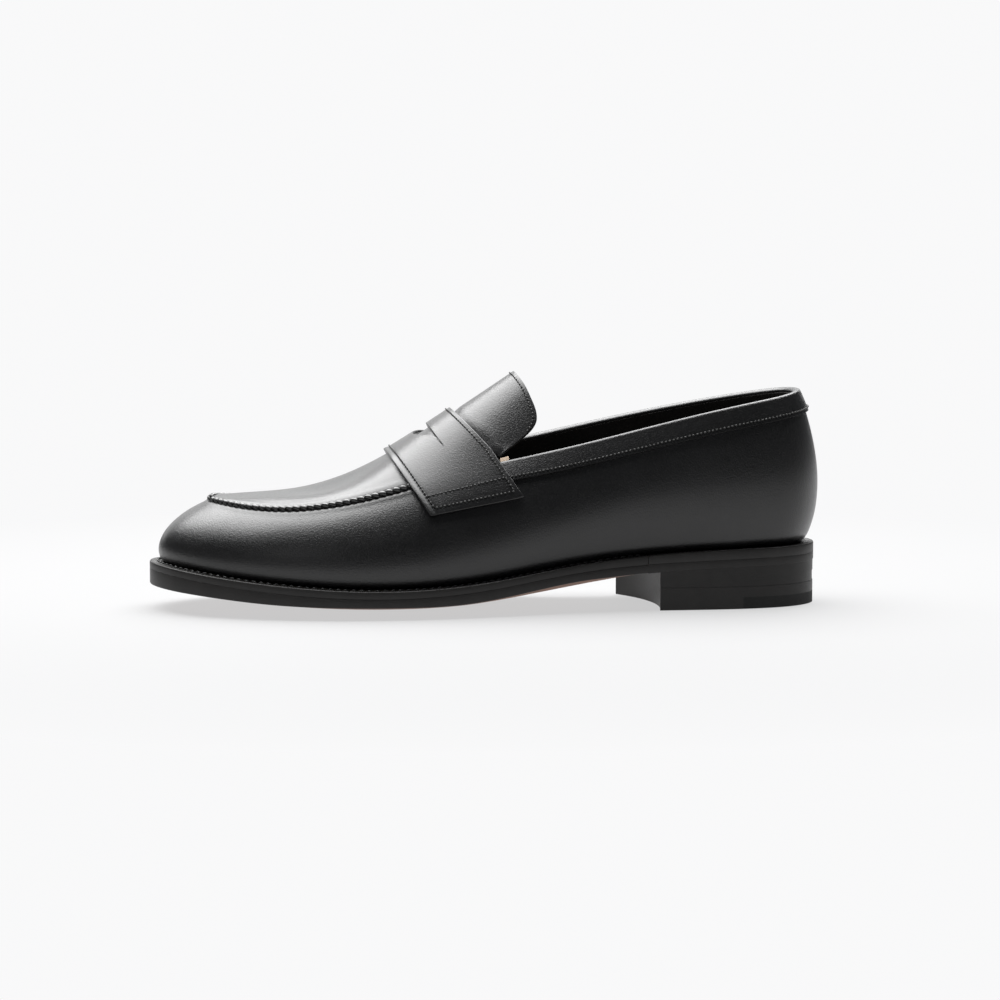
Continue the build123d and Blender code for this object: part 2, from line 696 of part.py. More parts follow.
# ---------------------------------------------------------------- tongue
TONGUE_GAP = 2.0         # clearance behind the strap for the tongue to bend
TONGUE_SIDE = [(3.0, 67.0), (10.5, 74.0), (18.0, 79.8), (21.4, 85.0), (19.6, 93.6), (17.0, 99.6), (13.3, 104.4),
               (8.0, 108.0)]   # its rounded end, seen from the side
TONGUE_PLACES = [-18, -12, -6, 0, 6, 12, 18, 24]
TONGUE_LEATHER = 1.2
for name, outer, inner, trim in (("tongue", 0.1, 0.1 + TONGUE_LEATHER, 0.0),
                                 ("tongue_lining", 0.2 + TONGUE_LEATHER, 0.2 + TONGUE_LEATHER + LINING, 0.6)):
    with BuildPart() as flap:
        loft_arch(TONGUE_PLACES, outer, inner)
        with BuildSketch(Plane.XZ):
            with BuildLine():
                end = Spline(*[(x - trim, z) for x, z in TONGUE_SIDE])
                Polyline(end @ 0, (-60, 40), (-60, 108), end @ 1)
            make_face()
        extrude(amount=80, both=True, mode=Mode.INTERSECT)
        extrude(strap_outline(TONGUE_GAP), amount=90, both=True, mode=Mode.SUBTRACT)
    save(flap.part, name)

# ---------------------------------------------------------------- threads
def stitch_planes(points, normals, pitch):
    """Planes at even spacing along a line of points, x along the line and z out of the leather."""
    planes = []
    run = 0.0
    for a, b, normal in zip(points, points[1:], normals):
        step = b - a
        length = step.length
        while run < length:
            along = step.normalized()
            out = (normal - along * normal.dot(along)).normalized()
            planes.append(Plane(origin=a + along * run, x_dir=along, z_dir=out))
            run += pitch
        run -= length
    return planes


def wall_normal(at, level):
    return (wall_point(at, level, -1.0) - wall_point(at, level, 0.0)).normalized()


def sew(planes, length, width, thick):
    """Adds one short length of thread at each plane to the open BuildPart."""
    with Locations(*planes):
        Box(length, width, thick)


SEAM_START = solve(lambda at: wall_point(at, 1.0).X + 39.0, 0.1, 0.45)
SEAM_END = solve(lambda at: wall_point(at, 1.0).X + 39.0, 0.9, 0.55)
with BuildPart() as apron_thread:
    places = spread(SEAM_START, SEAM_END, 160)
    sew(stitch_planes([wall_point(at, 1.0, -0.55) for at in places],
                      [wall_normal(at, 0.98) for at in places], 3.4), 2.0, 3.0, 0.8)
save(apron_thread.part, "apron_thread")

with BuildPart() as collar_thread:
    places = spread(MEDIAL_THROAT - 1, LATERAL_THROAT, 200)
    depth = -LAYER_GAP - COLLAR_LEATHER - 0.3
    row = stitch_planes([wall_point(at, collar_foot(at) + 0.022, depth) for at in places],
                        [wall_normal(at, 0.9) for at in places], 3.0)
    behind_strap = STRAP_REAR + STRAP_FLARE + 2.5
    sew([place for place in row if INSTEP.to_local_coords(place.origin).X > behind_strap], 2.2, 0.5, 0.3)
save(collar_thread.part, "collar_thread")

with BuildPart() as welt_thread:
    places = spread(0.19, 0.81, 240)
    points = []
    for at in places:
        x, y = plan_point(at, last(at)[2] * 0.55)
        points.append(Vector(x, y, feather_height(x) + 0.25))
    sew(stitch_planes(points, [Vector(0, 0, 1)] * len(points), 3.4), 2.6, 0.8, 0.3)
save(welt_thread.part, "welt_thread")


def arch_line(x, depth, reach, low_limit):
    """Points and outward directions across the instep at one place on the ridge."""
    plane = ridge_plane(x)
    with BuildLine(mode=Mode.PRIVATE):
        curve = Spline(*arch(x, depth, reach), mode=Mode.PRIVATE)
    flat = [curve @ (i / 90) for i in range(91)]
    points = []
    normals = []
    for a, b in zip(flat, flat[1:]):
        point = plane.from_local_coords(a)
        if point.Z > low_limit(point.X):
            points.append(point)
            normals.append(plane.from_local_coords(a + Vector(a.Y - b.Y, b.X - a.X)) - point)
    return points, normals


def strap_foot_height(x):
    (xa, za), (xb, zb) = STRAP_FOOT
    return za + (zb - za) * (x - xa) / (xb - xa)


with BuildPart() as strap_thread:
    for x in (-41.0, -17.2):
        points, normals = arch_line(x, strap_top - 0.2, 0.5, lambda px: strap_foot_height(px) + 3.0)
        sew(stitch_planes(points, normals, 3.0), 2.2, 0.5, 0.3)
save(strap_thread.part, "strap_thread")
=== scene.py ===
import json
import math

import bmesh
import bpy
import numpy as np
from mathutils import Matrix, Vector
from mathutils.bvhtree import BVHTree


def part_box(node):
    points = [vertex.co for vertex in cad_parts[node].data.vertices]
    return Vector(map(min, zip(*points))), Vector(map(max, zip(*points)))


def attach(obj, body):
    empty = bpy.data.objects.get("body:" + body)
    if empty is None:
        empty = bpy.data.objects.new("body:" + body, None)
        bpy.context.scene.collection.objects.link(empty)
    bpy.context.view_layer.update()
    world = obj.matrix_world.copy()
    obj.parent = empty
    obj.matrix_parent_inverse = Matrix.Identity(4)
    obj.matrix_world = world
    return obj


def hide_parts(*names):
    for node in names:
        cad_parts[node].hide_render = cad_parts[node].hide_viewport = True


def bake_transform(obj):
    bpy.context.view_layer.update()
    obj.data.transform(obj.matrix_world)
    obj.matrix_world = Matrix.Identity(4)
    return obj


# Looks for a black calf penny loafer.  Metres, in the CAD model's own frame: the shoe stands
# on z = 0, its toe towards -X, its heel towards +X and the outside of the foot towards -Y.
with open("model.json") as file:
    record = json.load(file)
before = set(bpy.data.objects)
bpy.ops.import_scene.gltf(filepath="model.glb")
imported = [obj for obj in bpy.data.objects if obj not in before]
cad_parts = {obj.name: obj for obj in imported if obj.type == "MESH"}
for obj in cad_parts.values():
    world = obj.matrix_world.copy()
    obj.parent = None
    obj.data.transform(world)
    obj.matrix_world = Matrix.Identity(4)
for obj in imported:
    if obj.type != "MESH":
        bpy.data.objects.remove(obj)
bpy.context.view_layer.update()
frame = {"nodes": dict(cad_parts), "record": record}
NODES = frame["nodes"]


# ---------------------------------------------------------------- materials
def new_material(name, colour, roughness, specular=0.5):
    """A node material with one principled shader, and short cuts to its tree."""
    material = bpy.data.materials.new(name)
    material.use_nodes = True
    tree = material.node_tree
    shader = tree.nodes["Principled BSDF"]
    shader.inputs["Base Color"].default_value = (*colour, 1)
    shader.inputs["Roughness"].default_value = roughness
    shader.inputs["Specular IOR Level"].default_value = specular
    return material, tree, shader


def add_node(tree, kind, **settings):
    """A shader node with its sockets or properties set by name."""
    node = tree.nodes.new(kind)
    for key, value in settings.items():
        if key in node.inputs:
            node.inputs[key].default_value = value
        else:
            setattr(node, key, value)
    return node


def noise(tree, scale, detail=2.0, roughness=0.5, stretch=(1, 1, 1)):
    """Noise in the object's own metres."""
    place = add_node(tree, "ShaderNodeTexCoord")
    mapping = add_node(tree, "ShaderNodeMapping")
    mapping.inputs["Scale"].default_value = stretch
    texture = add_node(tree, "ShaderNodeTexNoise", Scale=scale, Detail=detail, Roughness=roughness)
    tree.links.new(place.outputs["Object"], mapping.inputs["Vector"])
    tree.links.new(mapping.outputs["Vector"], texture.inputs["Vector"])
    return texture.outputs["Fac"]


def remap(tree, value, low, high, start=0.3, end=0.7):
    """Maps start..end onto low..high."""
    node = add_node(tree, "ShaderNodeMapRange")
    node.inputs["From Min"].default_value = start
    node.inputs["From Max"].default_value = end
    node.inputs["To Min"].default_value = low
    node.inputs["To Max"].default_value = high
    tree.links.new(value, node.inputs["Value"])
    return node.outputs["Result"]


def mix_colour(tree, factor, first, second):
    node = tree.nodes.new("ShaderNodeMix")
    node.data_type = "RGBA"
    tree.links.new(factor, node.inputs[0])
    for socket, colour in ((node.inputs[6], first), (node.inputs[7], second)):
        if isinstance(colour, tuple):
            socket.default_value = (*colour, 1)
        else:
            tree.links.new(colour, socket)
    return node.outputs[2]


def bump(tree, shader, layers):
    """Chains bump layers, each a (height, distance in metres, strength)."""
    normal = None
    for height, distance, strength in layers:
        node = add_node(tree, "ShaderNodeBump", Distance=distance, Strength=strength)
        tree.links.new(height, node.inputs["Height"])
        if normal is not None:
            tree.links.new(normal, node.inputs["Normal"])
        normal = node.outputs["Normal"]
    tree.links.new(normal, shader.inputs["Normal"])


def calf_leather(name, colour=(0.0045, 0.0045, 0.0048), roughness=0.33, coat=0.4, grain=1.0):
    """Polished box calf: a fine grain, soft creases of tone and a wax coat."""
    material, tree, shader = new_material(name, colour, roughness, 0.42)
    shader.inputs["Coat Weight"].default_value = coat
    shader.inputs["Coat Roughness"].default_value = 0.3
    fine = noise(tree, 1500, 3, 0.6)
    cloud = noise(tree, 60, 3, 0.5)
    dark, pale = (tuple(c * factor for c in colour) for factor in (0.8, 1.35))
    tone = mix_colour(tree, remap(tree, cloud, 0, 1), dark, pale)
    tree.links.new(tone, shader.inputs["Base Color"])
    mottle = noise(tree, 700, 4, 0.7)
    tree.links.new(remap(tree, mottle, roughness - 0.05, roughness + 0.07), shader.inputs["Roughness"])
    pores = add_node(tree, "ShaderNodeTexVoronoi", Scale=1500.0)
    pores.feature = "F1"
    place = add_node(tree, "ShaderNodeTexCoord")
    tree.links.new(place.outputs["Object"], pores.inputs["Vector"])
    bump(tree, shader, [(cloud, 0.0004, 0.25 * grain), (pores.outputs["Distance"], 0.00016, 0.5 * grain),
                        (fine, 0.00014, 0.7 * grain)])
    return material


def plain_leather(name, colour, roughness=0.6, grain=1.0, fibre=1.0):
    """Unpolished leather or fibre: matte, with a felted surface."""
    material, tree, shader = new_material(name, colour, roughness, 0.35)
    cloud = noise(tree, 90, 4, 0.6)
    fine = noise(tree, 1800, 3, 0.7)
    dark, pale = (tuple(c * factor for c in colour) for factor in (0.78, 1.2))
    tone = mix_colour(tree, remap(tree, cloud, 0, 1), dark, pale)
    tree.links.new(tone, shader.inputs["Base Color"])
    tree.links.new(remap(tree, fine, roughness - 0.06, roughness + 0.08), shader.inputs["Roughness"])
    bump(tree, shader, [(fine, 0.0001 * fibre, 0.6 * grain)])
    return material


def metal(name, colour, roughness):
    material, tree, shader = new_material(name, colour, roughness)
    shader.inputs["Metallic"].default_value = 1.0
    scratches = noise(tree, 900, 3, 0.6, (1, 12, 1))
    bump(tree, shader, [(scratches, 0.00003, 0.4)])
    return material


upper_calf = calf_leather("upper_calf")
strap_calf = calf_leather("strap_calf", roughness=0.33)
lining = plain_leather("lining_leather", (0.02, 0.018, 0.017), 0.62)
natural = plain_leather("natural_leather", (0.55, 0.43, 0.32), 0.7)
edge_ink = plain_leather("edge_ink", (0.014, 0.013, 0.0125), 0.42)
heel_leather = plain_leather("heel_leather", (0.014, 0.013, 0.0125), 0.4)
sole_leather = plain_leather("sole_leather", (0.2, 0.085, 0.045), 0.55)
rubber = plain_leather("rubber", (0.012, 0.012, 0.012), 0.7)
thread = plain_leather("thread", (0.04, 0.04, 0.039), 0.3)
raw_edge = plain_leather("raw_edge", (0.2, 0.08, 0.035), 0.8)
# Near-black pads at the needle holes: painted shade of the holes, not a colour of the leather.
hole_shade_paint = plain_leather("needle_hole_shade", (0.001, 0.001, 0.001), 0.95)
canvas = plain_leather("canvas", (0.6, 0.54, 0.44), 0.85)
cork = plain_leather("cork", (0.38, 0.24, 0.13), 0.9)
board = plain_leather("fibre_board", (0.22, 0.15, 0.1), 0.85)
steel = metal("spring_steel", (0.5, 0.5, 0.52), 0.35)
brass = metal("brass", (0.75, 0.55, 0.25), 0.3)

SLOT_MATERIAL = {
    "upper_calf": upper_calf, "strap_calf": strap_calf, "lining_leather": lining, "natural_leather": natural,
    "edge_leather": edge_ink, "sole_leather": sole_leather, "heel_leather": heel_leather, "rubber": rubber,
    "thread": thread, "canvas": canvas, "cork": cork, "fibre_board": board,
    "spring_steel": steel, "brass": brass,
}


def dress(node_object, material):
    """Gives a CAD node a material without touching its mesh."""
    for slot in node_object.material_slots:
        slot.material = material


for row in frame["record"]["subparts"]:
    dress(NODES[row["node"]], SLOT_MATERIAL[row["material_slot"]])


# ---------------------------------------------------------------- reading the CAD surfaces
def surface_tree(*names):
    """A ray-casting tree of one or more CAD nodes."""
    vertices = []
    faces = []
    for name in names:
        mesh = NODES[name].data
        base = len(vertices)
        vertices += [v.co.copy() for v in mesh.vertices]
        faces += [[base + i for i in polygon.vertices] for polygon in mesh.polygons]
    return BVHTree.FromPolygons(vertices, faces)


def hit(tree, start, direction, reach):
    return tree.ray_cast(Vector(start), Vector(direction), reach)[0]


def basis(at, count, periodic=False):
    """Cubic B-spline weights of `count` controls at each value of `at`, which runs 0 to 1."""
    at = np.atleast_1d(np.asarray(at, float))
    weights = np.zeros((len(at), count))
    spans = count if periodic else count - 3
    place = (at % 1.0 if periodic else np.clip(at, 0, 1)) * spans
    first = np.minimum(place.astype(int), spans - 1)
    t = place - first
    parts = ((1 - t) ** 3 / 6, (3 * t**3 - 6 * t**2 + 4) / 6,
             (-3 * t**3 + 3 * t**2 + 3 * t + 1) / 6, t**3 / 6)
    rows = np.arange(len(at))
    for i, part in enumerate(parts):
        column = (first + i) % count if periodic else first + i
        np.add.at(weights, (rows, column), part)
    return weights


class Fit:
    """A smooth function of two parameters, fitted to scattered samples by least squares."""

    def __init__(self, u, v, values, counts, periodic=False):
        self.counts = counts
        self.periodic = periodic
        table = self.weights(u, v)
        extra = 1e-5 * np.eye(table.shape[1])
        self.control = np.linalg.solve(table.T @ table + extra, table.T @ np.asarray(values, float))

    def weights(self, u, v):
        first = basis(u, self.counts[0], self.periodic)
        second = basis(v, self.counts[1])
        return np.einsum("ij,ik->ijk", first, second).reshape(len(first), -1)

    def __call__(self, u, v):
        u, v = np.broadcast_arrays(np.asarray(u, float), np.asarray(v, float))
        flat = self.weights(u.ravel(), v.ravel()) @ self.control
        return flat.reshape(u.shape + flat.shape[1:])


class Line1:
    """A smooth function of one parameter, fitted to samples."""

    def __init__(self, u, values, count, periodic=False):
        self.count = count
        self.periodic = periodic
        table = basis(u, count, periodic)
        extra = 1e-6 * np.eye(count)
        self.control = np.linalg.solve(table.T @ table + extra, table.T @ np.asarray(values, float))

    def __call__(self, u):
        u = np.asarray(u, float)
        flat = basis(u.ravel(), self.count, self.periodic) @ self.control
        return flat.reshape(u.shape + flat.shape[1:])


# Stations round the shoe: lines square to a guide ellipse in plan, at even spacing.
GUIDE_LONG = 0.138
GUIDE_WIDE = 0.044
GUIDE_STEPS = 4000
angles = np.linspace(0, 2 * np.pi, GUIDE_STEPS + 1)
ring = np.stack([GUIDE_LONG * np.cos(angles), -GUIDE_WIDE * np.sin(angles)], 1)
run = np.concatenate([[0], np.cumsum(np.linalg.norm(np.diff(ring, axis=0), axis=1))])
run /= run[-1]


def guide(at):
    """Point and outward direction of the guide; 0 is the heel, then the outer side, 0.5 the toe."""
    angle = np.interp(at % 1.0, run, angles)
    point = np.array([GUIDE_LONG * math.cos(angle), -GUIDE_WIDE * math.sin(angle), 0])
    normal = np.array([math.cos(angle) / GUIDE_LONG, -math.sin(angle) / GUIDE_WIDE, 0])
    return point, normal / np.linalg.norm(normal)


OUTSIDE = 0.06            # level rays start this far outside the guide and end this far inside it
INSIDE = 0.03
ABOVE = 0.15              # rays straight down start this high and reach this far
FALL = 0.2


def side_hit(tree, at, height):
    """Where a level ray from outside meets the node at a station."""
    point, normal = guide(at)
    start = point + normal * OUTSIDE
    start[2] = height
    return hit(tree, start, -normal, OUTSIDE + INSIDE)


def bisect(test, inside, outside, steps=18):
    """The edge between where a test holds and where it doesn't."""
    for _ in range(steps):
        middle = (inside + outside) / 2
        if test(middle):
            inside = middle
        else:
            outside = middle
    return inside


# ---------------------------------------------------------------- the side of the upper
STATION_COUNT = 220
LEVEL_COUNT = 26
wall_tree = surface_tree("vamp_wall")
ledge_tree = surface_tree("welt", "heel_rand")
sole_tree = surface_tree("outsole")
stations = np.arange(STATION_COUNT) / STATION_COUNT
TUCK = 0.0012             # how far the side leather goes down behind the welt
LEDGE_IN = 0.0012         # how far inside its edge the welt's top is measured


def ledge_height(at):
    """Height of the welt's top beside the upper."""
    point, normal = guide(at)
    for height in np.linspace(0.008, 0.027, 39):
        edge = side_hit(ledge_tree, at, height)
        if edge is not None:
            spot = np.array(edge) - normal * LEDGE_IN
            top = hit(ledge_tree, (spot[0], spot[1], 0.06), (0, 0, -1), 0.1)
            if top is not None:
                return top.z
    raise ValueError("no welt beside the upper at station %.3f" % at)


ledge = Line1(stations, [ledge_height(at) for at in stations], 36, True)
wall_tops = [bisect(lambda z: side_hit(wall_tree, at, z) is not None, 0.036, 0.12) for at in stations]
crest = Line1(stations, wall_tops, 44, True)
samples = []
for at in stations:
    low, high = float(ledge(at)) - TUCK, float(crest(at))
    for level in np.linspace(0, 0.995, LEVEL_COUNT):
        spot = side_hit(wall_tree, at, low + (high - low) * level)
        if spot is not None:
            samples.append((at, level, *spot))
samples = np.array(samples)
wall_fit = Fit(samples[:, 0], samples[:, 1], samples[:, 2:], (44, 9), True)


def wall_frame(at, level):
    """Points on the side of the upper, with the outward normal and the direction up it."""
    step = 1e-3
    point = wall_fit(at, level)
    along = wall_fit(at + step, level) - wall_fit(at - step, level)
    low = np.clip(np.asarray(level) - step, 0, 1)
    high = np.clip(np.asarray(level) + step, 0, 1)
    up = wall_fit(at, high) - wall_fit(at, low)
    normal = np.cross(up, along)
    normal /= np.linalg.norm(normal, axis=-1, keepdims=True)
    up /= np.linalg.norm(up, axis=-1, keepdims=True)
    return point, normal, up


def from_top(at, drop):
    """The level that lies a distance below the top edge, measured on the surface."""
    at = np.asarray(at, float)
    top_part = wall_fit(at, np.ones_like(at)) - wall_fit(at, np.full_like(at, 0.8))
    length = np.linalg.norm(top_part, axis=-1) / 0.2
    return 1 - drop / length


# ---------------------------------------------------------------- mesh helpers
def grid_faces(rows, columns, closed_rows=False, flip=False):
    """Quads of a grid of vertices numbered row by row."""
    faces = []
    for i in range(rows if closed_rows else rows - 1):
        for j in range(columns - 1):
            a, b = i * columns + j, (i + 1) % rows * columns + j
            quad = (a, b, b + 1, a + 1)
            faces.append(quad[::-1] if flip else quad)
    return faces


def make_piece(name, vertices, faces, material, body, replaces=(), slot=None):
    """A smooth-shaded mesh piece that rides on a body."""
    mesh = bpy.data.meshes.new(name)
    mesh.from_pydata([tuple(v) for v in np.asarray(vertices, float).reshape(-1, 3)], [], faces)
    mesh.materials.append(material)
    mesh.polygons.foreach_set("use_smooth", [True] * len(mesh.polygons))
    mesh.update()
    piece = bpy.data.objects.new(name, mesh)
    bpy.context.scene.collection.objects.link(piece)
    if body is not None:
        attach(piece, body)
    if replaces:
        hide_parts(*replaces)
    return piece


def thicken(piece, thickness, bevel, segments=3):
    """Gives a sheet its thickness and rounds its cut edges; a bevel of 0 leaves them square."""
    solid = piece.modifiers.new("thickness", "SOLIDIFY")
    solid.thickness = thickness
    solid.offset = -1.0
    if bevel > 0:
        rounding = piece.modifiers.new("edges", "BEVEL")
        rounding.width = bevel
        rounding.segments = segments
        rounding.limit_method = "ANGLE"
        rounding.angle_limit = math.radians(50)
        rounding.harden_normals = False
    apply_modifiers(piece)


def apply_modifiers(piece):
    graph = bpy.context.evaluated_depsgraph_get()
    mesh = bpy.data.meshes.new_from_object(piece.evaluated_get(graph))
    old = piece.data
    piece.modifiers.clear()
    piece.data = mesh
    mesh.polygons.foreach_set("use_smooth", [True] * len(mesh.polygons))
    bpy.data.meshes.remove(old)


def bell(distance, width):
    """A smooth hump of height 1 at distance 0."""
    return np.exp(-((distance / width) ** 2))


# ---------------------------------------------------------------- thread
def distances(points):
    """How far along a line each of its points lies."""
    return np.concatenate([[0], np.cumsum(np.linalg.norm(np.diff(points, axis=0), axis=1))])


def read(travel, table, at):
    """A row of a table of points or normals at a distance along the line."""
    return np.array([np.interp(at, travel, table[:, i]) for i in range(3)])


def thread_run(points, normals, pitch, length, radius, sink=0.35, slant=0.0, sides=8, rings=6):
    """Vertices and faces of short stitches along a line on the leather."""
    points = np.asarray(points, float)
    normals = np.asarray(normals, float)
    travel = distances(points)
    count = max(int(travel[-1] / pitch), 1)
    vertices = []
    faces = []
    turn = np.linspace(0, 2 * np.pi, sides, endpoint=False)
    for k in range(count):
        middle = (k + 0.5) * travel[-1] / count
        at = read(travel, points, middle)
        ahead = read(travel, points, middle + pitch / 2)
        behind = read(travel, points, middle - pitch / 2)
        up = read(travel, normals, middle)
        along = (ahead - behind) / np.linalg.norm(ahead - behind)
        across = np.cross(up, along)
        across /= np.linalg.norm(across)
        up = np.cross(along, across)
        along, across = (along * math.cos(slant) + across * math.sin(slant),
                         across * math.cos(slant) - along * math.sin(slant))
        base = len(vertices)
        for i in range(rings):
            s = -1 + 2 * i / (rings - 1)
            fat = max(1 - abs(s) ** 3.2, 0.02) ** 0.5
            centre = at + along * (s * length / 2) + up * (radius * (1 - sink) * (1 - 0.8 * abs(s) ** 3))
            centre = centre - up * radius * 0.3 * abs(s) ** 2
            for angle in turn:
                vertices.append(centre + (across * math.cos(angle) + up * math.sin(angle)) * radius * fat)
        for i in range(rings - 1):
            for j in range(sides):
                n = (j + 1) % sides
                a, b = base + i * sides, base + (i + 1) * sides
                faces.append((a + j, a + n, b + n, b + j))
        faces.append(tuple(base + j for j in range(sides))[::-1])
        faces.append(tuple(base + (rings - 1) * sides + j for j in range(sides)))
    return vertices, faces


# Pads painted near-black at each needle hole stand in for the shade inside the hole.
HOLE_STEP = 1e-5
HOLE_CROWN = 0.00009      # the pad's middle stands proud of the leather, its rim lies below it
HOLE_SINK = 0.0001
HOLE_SIDES = 8


def hole_shade_pads(points, normals, pitch, radius):
    """Small near-black pads between the stitches: painted shade where the needle went in."""
    points = np.asarray(points, float)
    normals = np.asarray(normals, float)
    travel = distances(points)
    count = max(int(travel[-1] / pitch), 1)
    vertices = []
    faces = []
    for k in range(count + 1):
        middle = np.clip(k * travel[-1] / count, HOLE_STEP, travel[-1] - HOLE_STEP)
        at = read(travel, points, middle)
        ahead = read(travel, points, middle + HOLE_STEP)
        up = read(travel, normals, middle)
        along = (ahead - at) / np.linalg.norm(ahead - at)
        across = np.cross(up, along)
        base = len(vertices)
        vertices.append(at + up * HOLE_CROWN)
        for turn in np.linspace(0, 2 * np.pi, HOLE_SIDES, endpoint=False):
            rim = along * math.cos(turn) * 0.8 + across * math.sin(turn)
            vertices.append(at + rim * radius - up * HOLE_SINK)
        faces += [(base, base + 1 + j, base + 1 + (j + 1) % HOLE_SIDES) for j in range(HOLE_SIDES)]
    return vertices, faces


def gather(parts):
    """Joins lists of vertices and faces into one."""
    vertices = []
    faces = []
    for more, quads in parts:
        base = len(vertices)
        vertices += more
        faces += [tuple(base + i for i in quad) for quad in quads]
    return vertices, faces


def sew(name, runs, body, replaces=(), **how):
    """A thread piece made of several rows of stitches, and pads of painted shade at its needle holes."""
    stitches = gather([thread_run(points, normals, **how) for points, normals in runs])
    pitch, radius = how["pitch"], how["radius"] * 1.05
    # The pads at the needle holes are painted shade.
    shade_pads = gather([hole_shade_pads(points, normals, pitch, radius) for points, normals in runs])
    return (make_piece(name, *stitches, thread, body, replaces, "thread"),
            make_piece(name + "_hole_shade", *shade_pads, hole_shade_paint, body, (), "thread"))


FINE_STITCH = {"pitch": 0.0018, "length": 0.0013, "radius": 0.00036, "sink": 0.2}

# ---------------------------------------------------------------- side leather
AROUND = 600
ROUND_PLACES = np.arange(AROUND) / AROUND
SIDE_ROWS = 56
SEAM_REACH = 0.268        # how far from the toe, in stations, the side meets the apron
SEAM_FADE = 0.01
FOOT_TUCK = 0.0015        # how far the side draws in where it meets the welt
SIDE_THICK = 0.0014


def seam_ridge(drop, strength):
    """How far the leather stands up beside the apron seam."""
    return strength * (0.0003 * bell(drop - 0.0024, 0.0014) - 0.0007 * bell(drop, 0.0009))


def build_wall():
    """The side leather: smooth from the welt up, puckered along the apron seam."""
    levels = np.linspace(0, 1, SIDE_ROWS) ** 0.85
    at, level = np.meshgrid(ROUND_PLACES, levels, indexing="ij")
    point, normal, up = wall_frame(at, level)
    drop = np.linalg.norm(point - wall_fit(at, np.ones_like(at)), axis=-1)
    front = np.clip((SEAM_REACH - np.abs(at - 0.5)) / SEAM_FADE, 0, 1)
    tuck = np.clip(1 - level / 0.085, 0, 1) ** 2
    point = point + normal * (seam_ridge(drop, front) - FOOT_TUCK * tuck)[..., None]
    faces = grid_faces(AROUND, SIDE_ROWS, closed_rows=True, flip=True)
    piece = make_piece("side_leather", point, faces, upper_calf, "root", ("vamp_wall",), "upper_calf")
    thicken(piece, SIDE_THICK, 0.00035)


build_wall()

# ---------------------------------------------------------------- apron
APRON_END_X = -0.0195     # the strap hides the apron from here on


def seam_station(x, low, high):
    """The station between two limits at which the seam reaches x."""
    return bisect(lambda at: float(wall_fit(at, 1.0)[0]) < x, high, low)


OUTER_END = seam_station(APRON_END_X, 0.15, 0.5)
INNER_END = seam_station(APRON_END_X, 0.85, 0.5)
apron_tree = surface_tree("apron")


def apron_plan(s, v):
    """Plan position inside the seam; s runs from the toe to the strap, v from outer to inner seam."""
    outer = wall_fit(0.5 - (0.5 - OUTER_END) * s, np.ones_like(s))
    inner = wall_fit(0.5 + (INNER_END - 0.5) * s, np.ones_like(s))
    return outer + (inner - outer) * v[..., None]


def apron_samples():
    rows = []
    for s in np.linspace(0.02, 1.0, 70):
        for v in np.linspace(0, 1, 41):
            place = apron_plan(np.array(s), np.array(v))
            if v in (0.0, 1.0):
                rows.append((s, v, place[2] + 0.0002))
                continue
            top = hit(apron_tree, (place[0], place[1], ABOVE), (0, 0, -1), FALL)
            if top is not None:
                rows.append((s, v, top.z))
    tip = wall_fit(np.array(0.5), np.array(1.0))
    rows += [(0.0, v, tip[2] + 0.0002) for v in np.linspace(0, 1, 41)]
    return np.array(rows)


rows = apron_samples()
apron_fit = Fit(rows[:, 0], rows[:, 1], rows[:, 2:], (22, 12))
seam_stations = np.linspace(OUTER_END, INNER_END, 900)
seam_line = wall_fit(seam_stations, np.ones(900))
APRON_ROWS = 150
APRON_ACROSS = 90


def build_apron():
    """The plug of smooth leather inside the seam, raised beside the stitches."""
    along = np.linspace(0.004, 1, APRON_ROWS) ** 1.3
    s, v = np.meshgrid(along, np.linspace(0, 1, APRON_ACROSS), indexing="ij")
    v = v - 0.12 * np.sin(2 * np.pi * v) / (2 * np.pi)
    point = apron_plan(s, v)
    point[..., 2] = apron_fit(s, v)[..., 0]
    flat = point.reshape(-1, 3)
    distance = np.array([np.min(np.hypot(seam_line[:, 0] - q[0], seam_line[:, 1] - q[1])) for q in flat])
    flat[:, 2] += 0.0003 * bell(distance - 0.0028, 0.0016) - 0.0006 * bell(distance, 0.0009)
    faces = grid_faces(APRON_ROWS, APRON_ACROSS)
    piece = make_piece("plug_leather", flat, faces, upper_calf, "root", ("apron",), "upper_calf")
    thicken(piece, 0.0013, 0)


cord = calf_leather("waxed_cord", (0.012, 0.012, 0.012), 0.3, 0.7, 0.4)


def build_seam():
    """Rope-like whip stitches along the seam, all of one size."""
    level = np.ones_like(seam_stations)
    point, normal, up = wall_frame(seam_stations, level * 0.999)
    lift = normal * 0.75 + np.array([0, 0, 0.66])
    lift /= np.linalg.norm(lift, axis=1, keepdims=True)
    vertices, faces = thread_run(point + lift * 0.0001, lift, 0.0032, 0.0043, 0.00105, sink=0.3, slant=-0.5,
                                 sides=14, rings=11)
    make_piece("seam_cord", vertices, faces, cord, "root", ("apron_thread",), "thread")


build_apron()
build_seam()

# ---------------------------------------------------------------- strap and tongue
# Both wrap round an axis that runs under the instep, parallel to the ridge.
SLOPE = math.atan(0.664)          # how steeply the ridge of the instep rises
STRAP_MIDDLE = (-0.02925, 0.00197)
AXIS_DEPTH = 0.038
ALONG = np.array([math.cos(SLOPE), 0, math.sin(SLOPE)])
ACROSS = np.array([0, 1, 0])
OUT = np.array([-math.sin(SLOPE), 0, math.cos(SLOPE)])
strap_tree = surface_tree("saddle_strap")
tongue_tree = surface_tree("tongue")
CENTRE = np.array(hit(surface_tree("tongue", "apron"), (*STRAP_MIDDLE, ABOVE), (0, 0, -1), FALL))
CENTRE[:2] = STRAP_MIDDLE
AXIS = CENTRE - OUT * AXIS_DEPTH


def wrap_direction(angle):
    angle = np.asarray(angle, float)[..., None]
    return OUT * np.cos(angle) + ACROSS * np.sin(angle)


